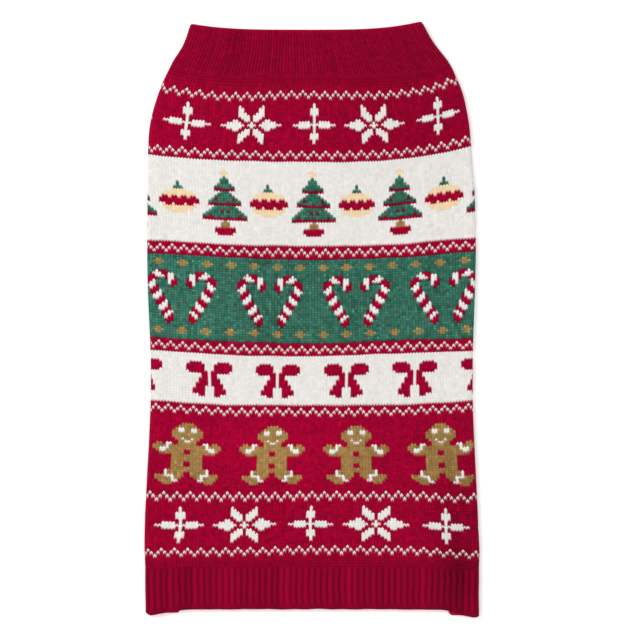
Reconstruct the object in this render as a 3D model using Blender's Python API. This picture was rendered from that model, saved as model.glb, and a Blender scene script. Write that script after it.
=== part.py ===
"""Dog sweater, laid flat: a knitted tube for a medium dog, neck toward +Y, back upward.

The sweater is a flattened tube. The patterned back panel covers the whole top, rounds both
side folds and runs a little way under, to the seams of the belly panel. Ribbed bands finish
the neck and the hem, and narrower ones finish the two front leg holes in the belly panel.

Every piece is laid out on the same two measures. A course is one line of knitting across the
sweater, named by its height on the centre line (y). The distance along a course is measured
from the centre of the back: over the top, round the side fold and on underneath.
Sizes are in millimetres and become metres where the meshes are made.
"""
import math
from collections import namedtuple

import bmesh
import bpy
import numpy as np

METRES = 0.001

# Cloth
WALL = 2.2            # thickness of the knitted cloth, and of a rib at its crest
RIB_DEPTH = 0.7       # from a rib's crest down to the valley beside it
LAYER_GAP = 0.4       # air between the two layers where one lies on the other
SEAM_GAP = 0.3        # between one piece and the next
FOLD_HOLLOW = 0.9     # inner radius of the side folds
FOLD_RADIUS = WALL + FOLD_HOLLOW
FOLD_TURN = math.pi * FOLD_RADIUS
SETTLE = 16.0         # the upper layer sinks from the fold onto the lower layer over this width
WRAP = 30.0           # how far the back panel runs under, from the side to the belly seam

# Courses, from the neck rim to the hem edge. y is the height on the centre line; the rises
# say how much nearer the neck the course lies at each side, and power how late it bends.
Course = namedtuple("Course", "y rise_left rise_right power left right")
COURSES = [
    Course(207.8, 4.5, 6.3, 3.5, -87.5, 79.2),       # neck rim
    Course(192.2, 5.8, 7.9, 4.0, -92.5, 87.1),
    Course(174.2, 7.6, 9.4, 4.0, -102.2, 99.4),      # collar seam
    Course(164.2, 5.4, 12.2, 4.0, -108.0, 103.0),
    Course(151.9, 5.2, 12.1, 3.4, -112.5, 108.2),
    Course(137.5, 5.0, 11.7, 2.8, -116.3, 111.8),
    Course(113.8, 4.7, 11.2, 2.4, -118.3, 114.8),
    Course(82.1, 4.5, 8.3, 2.0, -118.6, 117.2),
    Course(53.3, 4.5, 5.9, 1.8, -118.8, 118.1),
    Course(13.7, 4.4, 4.7, 1.8, -118.2, 117.4),
    Course(-16.6, 4.3, 4.0, 1.8, -116.8, 116.3),
    Course(-43.9, 4.3, 3.7, 1.9, -116.1, 115.8),
    Course(-61.9, 4.0, 4.0, 2.2, -116.3, 115.9),
    Course(-94.3, 2.9, 2.2, 2.0, -117.7, 117.2),
    Course(-124.6, 1.7, 0.7, 2.0, -119.4, 118.8),
    Course(-147.6, 0.7, -1.4, 2.0, -120.5, 119.9),
    Course(-164.2, -1.4, -3.2, 3.0, -120.7, 120.7),
    Course(-177.1, -1.8, -2.5, 3.0, -120.1, 120.3),  # hem seam
    Course(-193.0, -1.1, -1.4, 3.0, -119.9, 120.1),
    Course(-208.4, -0.7, -1.1, 3.0, -119.8, 120.3),  # hem edge
]
RIM_Y = COURSES[0].y
COLLAR_SEAM_Y = COURSES[2].y
HEM_SEAM_Y = COURSES[17].y
HEM_Y = COURSES[-1].y
MEASURES = np.array(COURSES)
DOWN = -MEASURES[:, 0]                      # the courses' heights, growing toward the hem
SLOPES = np.gradient(MEASURES, DOWN, axis=0)

# The lower layer shows past the upper one: a thread's width along the neck rim, and as a
# tongue at each lower corner, from the fold inward.
RIM_PEEK = 0.8
Tongue = namedtuple("Tongue", "drop reach")
TONGUE_LEFT = Tongue(3.3, 24.0)
TONGUE_RIGHT = Tongue(5.3, 21.0)
TONGUE_END = 2.5      # width over which a tongue ends
HEM_TUCK = 2.0        # between the tongues the lower layer stops this far short

# Soft swells of the upper layer: where the cloth is a little fuller and stands off.
Swell = namedtuple("Swell", "x y reach_x reach_y height")
SWELLS = [
    Swell(-88.0, 158.0, 20.0, 13.0, 0.9),
    Swell(84.0, 162.0, 18.0, 12.0, 1.1),
    Swell(-20.0, 168.0, 46.0, 9.0, 0.6),
    Swell(46.0, 120.0, 40.0, 16.0, 0.5),
    Swell(-62.0, 66.0, 34.0, 26.0, 0.6),
    Swell(72.0, 20.0, 26.0, 38.0, 0.7),
    Swell(-90.0, -40.0, 16.0, 48.0, 0.6),
    Swell(12.0, -74.0, 52.0, 18.0, 0.5),
    Swell(94.0, -128.0, 15.0, 34.0, 0.9),
    Swell(-50.0, -150.0, 44.0, 15.0, 0.5),
    Swell(100.0, -190.0, 10.0, 16.0, 1.0),
    Swell(-101.0, -186.0, 10.0, 18.0, 0.8),
]

# Ribs, one knit wale and one purl wale each. A rib's profile runs from one valley to the
# next: a share of its width, and how deep the face lies there as a share of RIB_DEPTH.
RibCount = namedtuple("RibCount", "top fold")
COLLAR_RIBS = RibCount(81, 4)
HEM_RIBS = RibCount(53, 2)
RibPoint = namedtuple("RibPoint", "across depth")
RIB_PROFILE = [RibPoint(0.0, 1.0), RibPoint(0.22, 0.3), RibPoint(0.5, 0.0), RibPoint(0.78, 0.3)]

# Front leg holes, one each side of the centre line
LEG_X = 50.0
LEG_Y = 101.0
LEG_HALF_WIDTH = 23.0
LEG_HALF_LENGTH = 31.0
CUFF_WIDTH = 9.0
CUFF_STEPS = 40

# Fineness of the plain walls
BACK_COLUMNS = 30
BACK_ROWS = 24
BELLY_ROWS = 12
BELLY_COLUMNS = 10
FOLD_STEPS = 6
FLAP_STEPS = 2
UNDER_STEPS = 6
COLLAR_ROWS = 4
HEM_ROWS = 3
LINING_COLUMNS = 24   # the plain inner side of a ribbed band, across the upper layer

# Finish: dyed acrylic yarn
CLOTH_ROUGHNESS = 0.9
RED = (0.39, 0.003, 0.026, 1.0)
DEEP_RED = (0.27, 0.002, 0.019, 1.0)


def smoothstep(value):
    value = min(max(value, 0.0), 1.0)
    return value * value * (3.0 - 2.0 * value)


def course_at(y):
    """Every measure of the course at height y, read as a smooth curve through COURSES."""
    i = int(np.clip(np.searchsorted(DOWN, -y) - 1, 0, len(DOWN) - 2))
    span = DOWN[i + 1] - DOWN[i]
    t = (-y - DOWN[i]) / span
    start = (1 + 2 * t) * (1 - t) ** 2 * MEASURES[i] + t * (1 - t) ** 2 * span * SLOPES[i]
    end = t * t * (3 - 2 * t) * MEASURES[i + 1] + t * t * (t - 1) * span * SLOPES[i + 1]
    return Course(y, *(start + end)[1:])


def top_height(course, x, y):
    """Height of the upper layer's outer face: it falls from the fold, then lies on the layer below."""
    inset = min(x - course.left, course.right - x) - FOLD_RADIUS
    settled = smoothstep(inset / SETTLE)
    height = 2 * FOLD_RADIUS * (1 - settled) + (2 * WALL + LAYER_GAP) * settled
    for swell in SWELLS:
        far = ((x - swell.x) / swell.reach_x) ** 2 + ((y - swell.y) / swell.reach_y) ** 2
        height += settled * swell.height * math.exp(-far)
    return height


def flat_run(course):
    """From the centre of a layer to where the side fold starts."""
    return (course.right - course.left) / 2 - FOLD_RADIUS


def point(course, along, depth):
    """The point at a distance along a course, a depth inside the outer face."""
    middle = (course.left + course.right) / 2
    flat = flat_run(course)
    side = math.copysign(1.0, along)
    gone = abs(along)
    turn = min(max((gone - flat) / FOLD_RADIUS, 0.0), math.pi)
    if gone <= flat:
        out = gone
    elif turn < math.pi:
        out = flat + (FOLD_RADIUS - depth) * math.sin(turn)
    else:
        out = flat - (gone - flat - FOLD_TURN)
    x = middle + side * out
    half = flat + FOLD_RADIUS
    rise = course.rise_right if side > 0 else course.rise_left
    y = course.y + rise * min(abs(out) / half, 1.0) ** course.power
    if gone <= flat:
        z = top_height(course, x, y) - depth
    else:
        z = FOLD_RADIUS + (FOLD_RADIUS - depth) * math.cos(turn)
    return (x, y, z)


# A column of a wall keeps to one zone on every course: the upper layer ("top", share -1 to 1
# from fold to fold), a side fold ("fold", 0 at the top to 1 underneath) or the lower layer
# ("under", 0 at the fold to 1 at the end of the piece). Shares left of the centre are negative.
Column = namedtuple("Column", "zone share depth")


def mirrored(side_columns):
    """The same columns on the left side, in order from left to right."""
    return [Column(c.zone, -c.share, c.depth) for c in reversed(side_columns)]


def plain_columns(top_steps, under_steps, depth):
    top = [Column("top", 2 * k / top_steps - 1, depth) for k in range(top_steps + 1)]
    side = [Column("fold", k / FOLD_STEPS, depth) for k in range(1, FOLD_STEPS + 1)]
    side += [Column("under", k / under_steps, depth) for k in range(1, under_steps + 1)]
    return mirrored(side) + top + side


def ribbed_columns(ribs):
    """Ribs over the top and the upper half of each fold; the side that is lain on is flat."""
    top = [Column("top", 2 * (k + p.across) / ribs.top - 1, p.depth * RIB_DEPTH)
           for k in range(ribs.top) for p in RIB_PROFILE]
    top.append(Column("top", 1.0, RIB_DEPTH))
    side = [Column("fold", (k + p.across) / ribs.fold, p.depth * RIB_DEPTH)
            for k in range(ribs.fold // 2) for p in RIB_PROFILE][1:]
    last = side[-1].share
    steps = FOLD_STEPS // 2 + 1
    side += [Column("fold", last + (1 - last) * k / steps, 0.0) for k in range(1, steps + 1)]
    side += [Column("under", k / UNDER_STEPS, 0.0) for k in range(1, UNDER_STEPS + 1)]
    return mirrored(side) + top + side


def position(column):
    """One number that grows from column to column, to match two walls' columns."""
    before = {"top": 0.0, "fold": 1.0, "under": 2.0}[column.zone]
    return math.copysign(before + abs(column.share), column.share)


def along_course(course, column, under_run):
    """Distance along the course of a column; under_run is the length of its under zone."""
    flat = flat_run(course)
    if column.zone == "top":
        return column.share * flat
    gone = abs(column.share)
    if column.zone == "fold":
        return math.copysign(flat + gone * FOLD_TURN, column.share)
    return math.copysign(flat + FOLD_TURN + gone * under_run, column.share)


def under_share(column):
    """0 on the upper layer, 1 on the lower one, and smooth round the fold between them."""
    return {"top": 0.0, "fold": smoothstep(abs(column.share)), "under": 1.0}[column.zone]


def rim_y(column):
    """Height of the course that ends the collar: the lower layer shows past the upper one."""
    return RIM_Y + RIM_PEEK * under_share(column)


def hem_y(column):
    """Height of the course that ends the hem, with a tongue of the lower layer at each corner."""
    tongue = TONGUE_RIGHT if column.share > 0 else TONGUE_LEFT
    inward = 0.0
    if column.zone == "under":
        inward = abs(column.share) * flat_run(COURSES[-1])
    ended = smoothstep((inward - tongue.reach) / TONGUE_END)
    drop = tongue.drop * (1 - ended) - HEM_TUCK * ended
    return HEM_Y - drop * under_share(column)


def fill_between(mesh, first, second):
    """Triangles between two rows of (position, vertex), however many each row has."""
    i = j = 0
    while i < len(first) - 1 or j < len(second) - 1:
        take_first = j == len(second) - 1 or (
            i < len(first) - 1 and first[i + 1][0] <= second[j + 1][0])
        if take_first:
            mesh.faces.new((first[i][1], first[i + 1][1], second[j][1]))
            i += 1
        else:
            mesh.faces.new((first[i][1], second[j + 1][1], second[j][1]))
            j += 1


def wall(outer, inner, looped):
    """A closed wall from two grids of points, an outer and an inner one.

    A grid is (columns, rows of points). A looped wall's last column is its first one again.
    """
    mesh = bmesh.new()
    edges = []
    for columns, rows in (outer, inner):
        made = []
        for row in rows:
            points = row[:-1] if looped else row
            line = [mesh.verts.new([c * METRES for c in p]) for p in points]
            made.append(line + line[:1] if looped else line)
        for upper, lower in zip(made, made[1:]):
            for k in range(len(upper) - 1):
                mesh.faces.new((upper[k], upper[k + 1], lower[k + 1], lower[k]))
        edges.append(([position(c) for c in columns], made))
    (outer_at, outer_rows), (inner_at, inner_rows) = edges
    for end in (0, -1):
        fill_between(mesh, list(zip(outer_at, outer_rows[end])),
                     list(zip(inner_at, inner_rows[end])))
    if not looped:
        for end in (0, -1):
            fill_between(mesh, list(enumerate(row[end] for row in outer_rows)),
                         list(enumerate(row[end] for row in inner_rows)))
    return mesh


def add_object(name, mesh, material, sharp_angle=40.0):
    bmesh.ops.recalc_face_normals(mesh, faces=mesh.faces)
    data = bpy.data.meshes.new(name)
    mesh.to_mesh(data)
    mesh.free()
    data.shade_smooth()
    data.set_sharp_from_angle(angle=math.radians(sharp_angle))
    data.materials.append(material)
    piece = bpy.data.objects.new(name, data)
    bpy.context.scene.collection.objects.link(piece)
    return piece


def yarn(name, colour):
    material = bpy.data.materials.new(name)
    material.use_nodes = True
    shader = material.node_tree.nodes["Principled BSDF"]
    shader.inputs["Base Color"].default_value = colour
    shader.inputs["Roughness"].default_value = CLOTH_ROUGHNESS
    shader.inputs["Metallic"].default_value = 0.0
    return material


def back_panel(material):
    """The patterned panel: over the top, round both folds and under to the belly seams."""
    top = COLLAR_SEAM_Y - SEAM_GAP / 2
    bottom = HEM_SEAM_Y + SEAM_GAP / 2
    flap = WRAP - FOLD_RADIUS - SEAM_GAP / 2
    grids = []
    for depth in (0.0, WALL):
        columns = plain_columns(BACK_COLUMNS, FLAP_STEPS, depth)
        courses = [course_at(top + (bottom - top) * k / BACK_ROWS) for k in range(BACK_ROWS + 1)]
        grids.append((columns, [[point(course, along_course(course, column, flap), column.depth)
                                 for column in columns] for course in courses]))
    return add_object("back_panel", wall(*grids, looped=False), material)


def ribbed_band(name, ribs, row_count, seam_y, end_y, material):
    """A flattened ribbed tube, from its seam to its free edge at the height end_y(column)."""
    grids = []
    for columns in (ribbed_columns(ribs), plain_columns(LINING_COLUMNS, UNDER_STEPS, WALL)):
        rows = []
        for k in range(row_count + 1):
            row = []
            for column in columns:
                course = course_at(seam_y + (end_y(column) - seam_y) * k / row_count)
                along = along_course(course, column, flat_run(course))
                row.append(point(course, along, column.depth))
            rows.append(row)
        grids.append((columns, rows))
    return add_object(name, wall(*grids, looped=True), material)


def flat_plate(outlines):
    """A flat wall on the ground, one WALL thick, from its outer outline and those of its holes."""
    mesh = bmesh.new()
    edges = []
    for outline in outlines:
        corners = [mesh.verts.new((x * METRES, y * METRES, 0.0)) for x, y in outline]
        edges += [mesh.edges.new((a, b)) for a, b in zip(corners, corners[1:] + corners[:1])]
    bmesh.ops.triangle_fill(mesh, use_beauty=True, use_dissolve=False, edges=edges)
    faces = list(mesh.faces)
    raised = bmesh.ops.extrude_face_region(mesh, geom=faces, use_keep_orig=True)["geom"]
    lifted = [item for item in raised if isinstance(item, bmesh.types.BMVert)]
    bmesh.ops.translate(mesh, verts=lifted, vec=(0.0, 0.0, WALL * METRES))
    return mesh


def oval(side, half_width, half_length):
    """Corners of an oval round a leg hole; side is -1 on the left and 1 on the right."""
    turns = [2 * math.pi * k / CUFF_STEPS for k in range(CUFF_STEPS)]
    return [(side * LEG_X + half_width * math.cos(t), LEG_Y + half_length * math.sin(t))
            for t in turns]


def belly_panel(material):
    """The plain lower panel between the belly seams, with the two leg holes."""
    top = COLLAR_SEAM_Y - SEAM_GAP / 2
    bottom = HEM_SEAM_Y + SEAM_GAP / 2

    def on_course(y, share):
        """A point of the course at y: share -1 and 1 are the two belly seams."""
        course = course_at(y)
        middle = (course.left + course.right) / 2
        half = flat_run(course) + FOLD_RADIUS
        out = (half - WRAP - SEAM_GAP / 2) * share
        rise = course.rise_right if share > 0 else course.rise_left
        return (middle + out, y + rise * (abs(out) / half) ** course.power)

    heights = [top + (bottom - top) * k / BELLY_ROWS for k in range(BELLY_ROWS + 1)]
    shares = [2 * k / BELLY_COLUMNS - 1 for k in range(1, BELLY_COLUMNS)]
    outline = [on_course(y, 1.0) for y in heights]
    outline += [on_course(bottom, share) for share in reversed(shares)]
    outline += [on_course(y, -1.0) for y in reversed(heights)]
    outline += [on_course(top, share) for share in shares]
    reach = CUFF_WIDTH + SEAM_GAP
    holes = [oval(side, LEG_HALF_WIDTH + reach, LEG_HALF_LENGTH + reach) for side in (-1, 1)]
    return add_object("belly_panel", flat_plate([outline] + holes), material)


def leg_cuff(name, side, material):
    """A ribbed band round a leg hole, lying flat, so its resting face is plain."""
    outer = oval(side, LEG_HALF_WIDTH + CUFF_WIDTH, LEG_HALF_LENGTH + CUFF_WIDTH)
    hole = oval(side, LEG_HALF_WIDTH, LEG_HALF_LENGTH)
    return add_object(name, flat_plate([outer, hole]), material)


def clear_scene():
    for item in list(bpy.data.objects):
        bpy.data.objects.remove(item, do_unlink=True)


def build():
    clear_scene()
    jersey = yarn("red_jersey", RED)
    rib = yarn("deep_red_rib", DEEP_RED)
    back_panel(jersey)
    belly_panel(jersey)
    ribbed_band("collar_rib", COLLAR_RIBS, COLLAR_ROWS, COLLAR_SEAM_Y + SEAM_GAP / 2, rim_y, rib)
    ribbed_band("hem_rib", HEM_RIBS, HEM_ROWS, HEM_SEAM_Y - SEAM_GAP / 2, hem_y, rib)
    leg_cuff("leg_cuff_left", -1, rib)
    leg_cuff("leg_cuff_right", 1, rib)


build()
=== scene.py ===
"""Dog sweater laid flat: its knit, its yarn colours and the studio it lies in.

The cloth is laid out on the courses and folds of the solids. Each piece starts as a smooth
cloth form, a grid that carries its outer face and the way inward. Geometry Nodes then knit the
wall over that form, stitch by stitch, and the yarn colours are read from a chart.
Lengths are in millimetres and become metres where the meshes are made.
"""
import math
from collections import namedtuple
from functools import partial

import bmesh
import bpy
import numpy as np
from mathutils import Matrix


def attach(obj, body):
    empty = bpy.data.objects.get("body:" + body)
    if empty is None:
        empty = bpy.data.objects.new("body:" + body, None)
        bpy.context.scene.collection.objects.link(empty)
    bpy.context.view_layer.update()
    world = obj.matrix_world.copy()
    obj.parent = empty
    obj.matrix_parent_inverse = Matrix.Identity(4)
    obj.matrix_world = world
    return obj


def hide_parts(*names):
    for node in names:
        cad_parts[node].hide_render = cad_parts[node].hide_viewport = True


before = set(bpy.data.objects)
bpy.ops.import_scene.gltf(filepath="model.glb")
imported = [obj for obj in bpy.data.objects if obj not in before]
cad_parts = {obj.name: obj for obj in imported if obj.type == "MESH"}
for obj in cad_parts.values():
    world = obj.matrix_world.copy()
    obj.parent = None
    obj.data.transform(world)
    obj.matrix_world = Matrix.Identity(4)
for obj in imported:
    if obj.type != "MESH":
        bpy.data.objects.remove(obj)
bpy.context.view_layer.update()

METRES = 0.001
rng = np.random.default_rng(11)

# ---- the cloth, as in the solids

WALL = 2.2  # thickness of the knitted cloth, crest to lining
LAYER_GAP = 0.4  # air between the two layers where one lies on the other
SEAM_GAP = 0.3  # between one piece and the next
FOLD_RADIUS = 3.1  # of the side folds, to the outer face
FOLD_TURN = math.pi * FOLD_RADIUS
SETTLE = 16.0  # the upper layer sinks from the fold onto the lower layer over this width
WRAP = 30.0  # how far the back panel runs under, from the side to the belly seam

# Courses, from the neck rim to the hem edge. y is the height on the centre line; the rises
# say how much nearer the neck the course lies at each side, and power how late it bends.
Course = namedtuple("Course", "y rise_left rise_right power left right")
COURSES = [
    Course(207.8, 4.5, 6.3, 3.5, -87.5, 79.2),  # neck rim
    Course(192.2, 5.8, 7.9, 4.0, -92.5, 87.1),
    Course(174.2, 7.6, 9.4, 4.0, -102.2, 99.4),  # collar seam
    Course(164.2, 5.4, 12.2, 4.0, -108.0, 103.0),
    Course(151.9, 5.2, 12.1, 3.4, -112.5, 108.2),
    Course(137.5, 5.0, 11.7, 2.8, -116.3, 111.8),
    Course(113.8, 4.7, 11.2, 2.4, -118.3, 114.8),
    Course(82.1, 4.5, 8.3, 2.0, -118.6, 117.2),
    Course(53.3, 4.5, 5.9, 1.8, -118.8, 118.1),
    Course(13.7, 4.4, 4.7, 1.8, -118.2, 117.4),
    Course(-16.6, 4.3, 4.0, 1.8, -116.8, 116.3),
    Course(-43.9, 4.3, 3.7, 1.9, -116.1, 115.8),
    Course(-61.9, 4.0, 4.0, 2.2, -116.3, 115.9),
    Course(-94.3, 2.9, 2.2, 2.0, -117.7, 117.2),
    Course(-124.6, 1.7, 0.7, 2.0, -119.4, 118.8),
    Course(-147.6, 0.7, -1.4, 2.0, -120.5, 119.9),
    Course(-164.2, -1.4, -3.2, 3.0, -120.7, 120.7),
    Course(-177.1, -1.8, -2.5, 3.0, -120.1, 120.3),  # hem seam
    Course(-193.0, -1.1, -1.4, 3.0, -119.9, 120.1),
    Course(-208.4, -0.7, -1.1, 3.0, -119.8, 120.3),  # hem edge
]
RIM_Y = COURSES[0].y
COLLAR_SEAM_Y = COURSES[2].y
HEM_SEAM_Y = COURSES[17].y
HEM_Y = COURSES[-1].y
MEASURES = np.array(COURSES)
DOWN = -MEASURES[:, 0]  # the courses' heights, growing toward the hem
SLOPES = np.gradient(MEASURES, DOWN, axis=0)

# The lower layer shows past the upper one: a thread's width along the neck rim, and as a
# tongue at each lower corner, from the fold inward. least is the share of a tongue's drop that
# is left at its inner end, and corner the share by which the fold draws it up.
RIM_PEEK = 0.8
Tongue = namedtuple("Tongue", "drop reach least corner")
TONGUE_LEFT = Tongue(4.1, 20.9, 0.55, 0.4)
TONGUE_RIGHT = Tongue(5.3, 18.0, 0.72, 0.1)
TONGUE_NARROWS = 0.625  # share of its reach over which the drop falls to the least
TONGUE_END = 2.5  # its inner end slants back to the hem over this length
HEM_TUCK = 2.0  # between the tongues the lower hem lies this far behind the upper one
UPPER_SHARE = 0.8  # how far the upper layer's edge comes down with a tongue
UPPER_REACH = 1.4  # and over how many times its reach
HEM_RIPPLE = 0.16
HEM_WAVES = [(17.0, 1.0), (41.0, 0.0)]  # radians from the centre to a fold, and at the centre

# A place on the cloth where something is more, and how far it reaches before it fades
Place = namedtuple("Place", "x y reach_x reach_y more")
# Soft swells of the upper layer, where the cloth is a little fuller: how high they stand
SWELLS = [
    Place(-88, 158, 20, 13, 0.9),
    Place(84, 162, 18, 12, 1.1),
    Place(-20, 168, 46, 9, 0.6),
    Place(46, 120, 40, 16, 0.5),
    Place(-62, 66, 34, 26, 0.6),
    Place(72, 20, 26, 38, 0.7),
    Place(-90, -40, 16, 48, 0.6),
    Place(12, -74, 52, 18, 0.5),
    Place(94, -128, 15, 34, 0.9),
    Place(-50, -150, 44, 15, 0.5),
    Place(100, -190, 10, 16, 1.0),
    Place(-101, -186, 10, 18, 0.8),
    Place(107, -188, 5, 24, -0.5),
]

# Front leg holes, one each side of the centre line
LEG_X = 50.0
LEG_Y = 101.0
LEG_HALF_WIDTH = 23.0
LEG_HALF_LENGTH = 31.0
CUFF_WIDTH = 9.0

# ---- the knit

BACK_WALES = 140  # stitches across the back panel, belly seam to belly seam
BELLY_WALES = 84
BODY_COURSES = 199  # rows from the collar seam to the hem seam
RibCount = namedtuple("RibCount", "top fold")
COLLAR_RIBS = RibCount(81, 4)
HEM_RIBS = RibCount(53, 2)
COLLAR_COURSES = 19
HEM_COURSES = 18
CUFF_RIBS = 88
CUFF_COURSES = 5

EDGE_ROUND = 0.25  # share of the wall by which a free edge rounds off
SEAM_STAND = 0.5  # the height of a rib where it is left plain, as a share of its relief
# How high the lining's yarn counts as standing, only for its painted groove shade
LINING_SHADE_STAND = 0.6
LINING_ROWS = 6

ProfilePoint = namedtuple("ProfilePoint", "across height")


def ridge(*rising):
    """The profile of a stitch or rib from one gap to the next: how much of the relief stands
    there. It is symmetric, and given up to its middle."""
    rising = [ProfilePoint(*point) for point in rising]
    return rising + [ProfilePoint(1 - across, height) for across, height in rising[-2::-1]]


JERSEY_PROFILE = ridge((0.0, 0.0), (0.25, 1.0), (0.5, 0.65))
FINE_RIB_PROFILE = ridge((0.0, 0.0), (0.17, 0.15), (0.33, 0.7), (0.5, 1.0))
WIDE_RIB_PROFILE = ridge((0.0, 0.0), (0.125, 0.35), (0.25, 0.8), (0.375, 0.96), (0.5, 1.0))


# ---- shapes of the cloth

def smoothstep(value):
    value = np.clip(value, 0.0, 1.0)
    return value * value * (3.0 - 2.0 * value)


def fading(places, x, y):
    """The sum of what the places add at x and y."""
    return sum(place.more * np.exp(-((x - place.x) / place.reach_x) ** 2
                                   - ((y - place.y) / place.reach_y) ** 2) for place in places)


def between(stops, at):
    """For each place, the last stop before it and its share of the way to the next one."""
    last = np.clip(np.searchsorted(stops, at) - 1, 0, len(stops) - 2)
    return last, (at - stops[last]) / (stops[last + 1] - stops[last])


def courses_at(y):
    """Every measure of the courses at the heights y, read as smooth curves through COURSES."""
    row, t = between(DOWN, -y)
    t = t[..., None]
    span = (DOWN[row + 1] - DOWN[row])[..., None]
    start = (1 + 2 * t) * (1 - t) ** 2 * MEASURES[row] + t * (1 - t) ** 2 * span * SLOPES[row]
    end = t * t * (3 - 2 * t) * MEASURES[row + 1] + t * t * (t - 1) * span * SLOPES[row + 1]
    return Course(y, *np.moveaxis(start + end, -1, 0)[1:])


def flat_run(course):
    """From the centre of a layer to where the side fold starts."""
    return (course.right - course.left) / 2 - FOLD_RADIUS


def back_half(course):
    """From the centre of the back to a belly seam, round the fold and under."""
    return flat_run(course) + FOLD_TURN + WRAP - FOLD_RADIUS


def belly_half(course):
    """From the centre of the belly to one of its seams."""
    return flat_run(course) + FOLD_RADIUS - WRAP


def top_height(course, x, y):
    """Height of the upper layer's outer face: it falls from the fold onto the layer below."""
    settled = smoothstep((np.minimum(x - course.left, course.right - x) - FOLD_RADIUS) / SETTLE)
    height = 2 * FOLD_RADIUS * (1 - settled) + (2 * WALL + LAYER_GAP) * settled
    return height + settled * fading(SWELLS, x, y)


def tube_points(y, along, depth):
    """Points of the flattened tube: on the course at y, a distance along from the back's centre,
    and a depth inside the outer face."""
    course = courses_at(y)
    middle = (course.left + course.right) / 2
    flat = flat_run(course)
    gone = np.abs(along)
    turn = np.clip((gone - flat) / FOLD_RADIUS, 0.0, math.pi)
    under = 2 * flat + FOLD_TURN - gone
    out = np.where(gone <= flat, gone, flat + (FOLD_RADIUS - depth) * np.sin(turn))
    out = np.where(turn >= math.pi, under, out)
    x = middle + np.sign(along) * out
    rise = np.where(along > 0, course.rise_right, course.rise_left)
    share = np.minimum(np.abs(out) / (flat + FOLD_RADIUS), 1.0)
    y = y + rise * share ** course.power
    folded = FOLD_RADIUS + (FOLD_RADIUS - depth) * np.cos(turn)
    z = np.where(gone <= flat, top_height(course, x, y) - depth, folded)
    return np.stack([x, y, z], axis=-1)


def belly_points(y, share, depth):
    """Points of the belly panel: share -1 and 1 are its two seams, on the course at y."""
    course = courses_at(y)
    out = (belly_half(course) - SEAM_GAP / 2) * share
    rise = np.where(share > 0, course.rise_right, course.rise_left)
    x = (course.left + course.right) / 2 + out
    y = y + rise * (np.abs(out) / (flat_run(course) + FOLD_RADIUS)) ** course.power
    return np.stack([x, y, np.full_like(x, depth)], axis=-1)


def cuff_points(centre, turn, inward, depth):
    """Points of a leg band laid flat: inward runs from its outer edge to the leg hole."""
    width = LEG_HALF_WIDTH + CUFF_WIDTH * (1 - inward)
    length = LEG_HALF_LENGTH + CUFF_WIDTH * (1 - inward)
    angle = -2 * math.pi * turn
    return np.stack([centre + width * np.cos(angle), LEG_Y + length * np.sin(angle),
                     np.full_like(angle, depth)], axis=-1)


# ---- the chart

def linear(code):
    """An sRGB hex colour as linear red, green, blue and alpha."""
    parts = np.array([int(code[k:k + 2], 16) for k in (0, 2, 4)]) / 255
    values = np.where(parts <= 0.04045, parts / 12.92, ((parts + 0.055) / 1.055) ** 2.4)
    return (*values, 1.0)


# Yarns of the jacquard, by the letter that stands for each in the charts below. A dot is ground.
YARNS = {"r": "B50036", "w": "E7E4E0", "g": "46927B", "t": "B48E54", "o": "BA9054",
         "q": "ADA470", "p": "EBD1AA"}

# Bands of ground colour, from the first course of each; top is the height of its upper edge.
Band = namedtuple("Band", "first ground top")
BANDS = [
    Band(0, "r", COLLAR_SEAM_Y),
    Band(34, "w", 113.8),
    Band(69, "r", 53.5),
    Band(74, "g", 43.4),
    Band(108, "r", -16.3),
    Band(113, "w", -25.8),
    Band(134, "r", -61.7),
    Band(BODY_COURSES, "r", HEM_SEAM_Y),
]
# Zigzags, three courses high and four stitches long: the first course, and a stitch at a peak.
Zigzag = namedtuple("Zigzag", "course peak")
ZIGZAGS = [Zigzag(5, 71), Zigzag(30, 71), Zigzag(70, 70), Zigzag(109, 70), Zigzag(135, 70),
           Zigzag(170, 69), Zigzag(192, 69)]
ZIGZAG_COURSES = 3
ZIGZAG_PERIOD = 4
ZIGZAG_STRETCH = 1.18  # courses of two tight floats stand taller than the plain ones

# Motifs, charted. Each is the left half of its shape, down to the middle where it is
# also symmetric top to bottom. The last column is the centre one unless the motif has none.
STAR_FLAKE = """
......w....
......ww...
......ww...
......www..
......wwww.
.......www.
....ww..ww.
..wwwww...w
wwwwwwww.ww
"""
CROSS_FLAKE = """
.......w
.......w
......ww
......ww
......ww
.......w
.......w
..wwww.w
wwwwwwww
"""
CANE = """
...wrrr.....
..wwwrrww...
.rrwwwrww...
rrrr..rwwr..
rrw....wrr..
rww....wrr..
wwwr....r...
.wrr........
.rrrw.......
.rrww.......
..wwwr......
..wwrr......
...rrrw.....
...rrww.....
....wwwr....
....wwrr....
.....rrww...
.....rwwr...
......wrr...
......rrr...
.......r....
"""
BOW = """
.rrrr...
rrrrrr..
rrrrrr..
rrrrrr..
.rrrrrr.
.....rr.
.....rr.
....rrr.
....rrr.
...rrrr.
...rrr..
..rrrr..
..rrrr..
....rr..
"""
BISCUIT = """
.........tt
........ttt
.......twwt
......ttwwt
......ttttt
......ttttt
.......ttwt
........ttw
.tt.ww..ttt
ttttwtttttt
ttwwwtttttt
.twwttttttr
..ttttttttr
......ttttt
......ttttt
......ttttt
......ttttr
......ttttr
......ttttt
....wtttttt
....wttttt.
.tttwwwttt.
.tttttwtt..
..ttttww...
...ttt.....
"""
FIR = """
.........p
........pp
.........p
.........g
........gg
........gg
.......ggg
......gggg
......rrrr
........gg
.......ggg
......gggg
.....grggg
....gggggg
....rrrrrr
......gggg
.....ggggg
....ggggrg
...ggggggg
..ggrggggg
..rrrrrrrr
.........t
........tt
........tt
......rrrr
......rrrr
.......rrr
"""
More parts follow.
